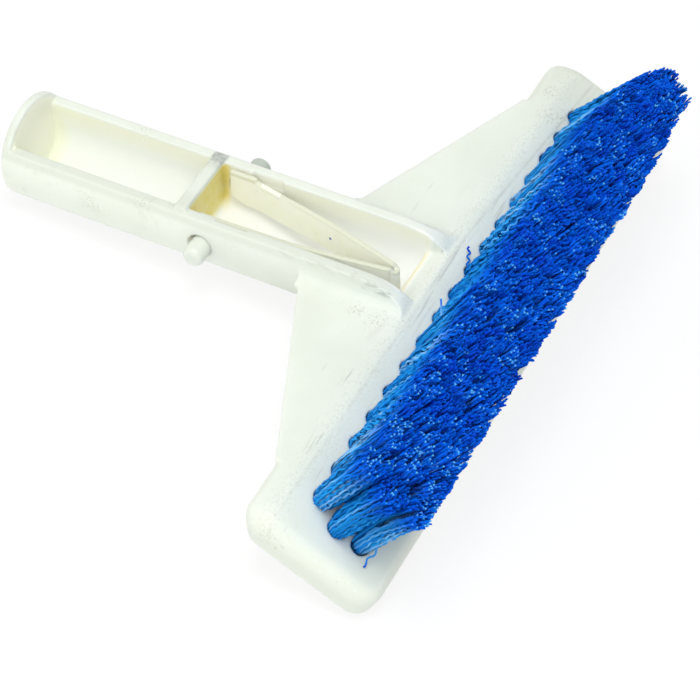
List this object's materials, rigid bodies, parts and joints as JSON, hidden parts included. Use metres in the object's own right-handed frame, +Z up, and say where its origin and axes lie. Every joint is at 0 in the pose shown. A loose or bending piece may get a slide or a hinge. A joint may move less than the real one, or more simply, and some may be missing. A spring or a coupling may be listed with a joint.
{
  "type": "pool brush",
  "caption": "Pool brush head with a rectangular bar of stiff upright bristle tufts, an open trough handle and a sprung V clip whose buttons lock in a pole.",
  "frame": {"origin": "centre of the bounding box's foot, on the plane that the brush lies on with its bristles up", "axes": "+X along the bar, +Y from the handle's free end towards the bar, +Z up; the handle rises 3.4 degrees towards the bar because the brush rests on the handle's end and the bar's lower front edge"},
  "size_m": [0.178, 0.1618, 0.0511],
  "materials": {
    "white_moulding": "satin moulded ABS, off-white",
    "clip_nylon": "satin, natural nylon",
    "blue_bristle": "drawn nylon filament, blue"
  },
  "bodies": {
    "brush": {"head_and_handle": "white_moulding", "clip_bend": "clip_nylon", "tuft_rear_01": "blue_bristle", "tuft_rear_02": "blue_bristle", "tuft_rear_03": "blue_bristle", "tuft_rear_04": "blue_bristle", "tuft_rear_05": "blue_bristle", "tuft_rear_06": "blue_bristle", "tuft_rear_07": "blue_bristle", "tuft_rear_08": "blue_bristle", "tuft_rear_09": "blue_bristle", "tuft_rear_10": "blue_bristle", "tuft_rear_11": "blue_bristle", "tuft_rear_12": "blue_bristle", "tuft_rear_13": "blue_bristle", "tuft_rear_14": "blue_bristle", "tuft_rear_15": "blue_bristle", "tuft_rear_16": "blue_bristle", "tuft_rear_17": "blue_bristle", "tuft_middle_01": "blue_bristle", "tuft_middle_02": "blue_bristle", "tuft_middle_03": "blue_bristle", "tuft_middle_04": "blue_bristle", "tuft_middle_05": "blue_bristle", "tuft_middle_06": "blue_bristle", "tuft_middle_07": "blue_bristle", "tuft_middle_08": "blue_bristle", "tuft_middle_09": "blue_bristle", "tuft_middle_10": "blue_bristle", "tuft_middle_11": "blue_bristle", "tuft_middle_12": "blue_bristle", "tuft_middle_13": "blue_bristle", "tuft_middle_14": "blue_bristle", "tuft_middle_15": "blue_bristle", "tuft_middle_16": "blue_bristle", "tuft_middle_17": "blue_bristle", "tuft_middle_18": "blue_bristle", "tuft_front_01": "blue_bristle", "tuft_front_02": "blue_bristle", "tuft_front_03": "blue_bristle", "tuft_front_04": "blue_bristle", "tuft_front_05": "blue_bristle", "tuft_front_06": "blue_bristle", "tuft_front_07": "blue_bristle", "tuft_front_08": "blue_bristle", "tuft_front_09": "blue_bristle", "tuft_front_10": "blue_bristle", "tuft_front_11": "blue_bristle", "tuft_front_12": "blue_bristle", "tuft_front_13": "blue_bristle", "tuft_front_14": "blue_bristle", "tuft_front_15": "blue_bristle", "tuft_front_16": "blue_bristle", "tuft_front_17": "blue_bristle", "tuft_front_18": "blue_bristle"},
    "left_leg": {"clip_leg_left": "clip_nylon"},
    "right_leg": {"clip_leg_right": "clip_nylon"}
  },
  "joints": [
    {"name": "left_button_press", "type": "hinge", "parent": "brush", "child": "left_leg", "pos_m": [0.0015, 0.03108, 0.02068], "axis": [0, -0.0585, 0.9983], "range_deg": [0, 5.4], "stiffness_Nm_per_rad": 4},
    {"name": "right_button_press", "type": "hinge", "parent": "brush", "child": "right_leg", "pos_m": [0.0035, 0.03108, 0.02068], "axis": [0, 0.0585, -0.9983], "range_deg": [0, 5.4], "stiffness_Nm_per_rad": 4}
  ]
}
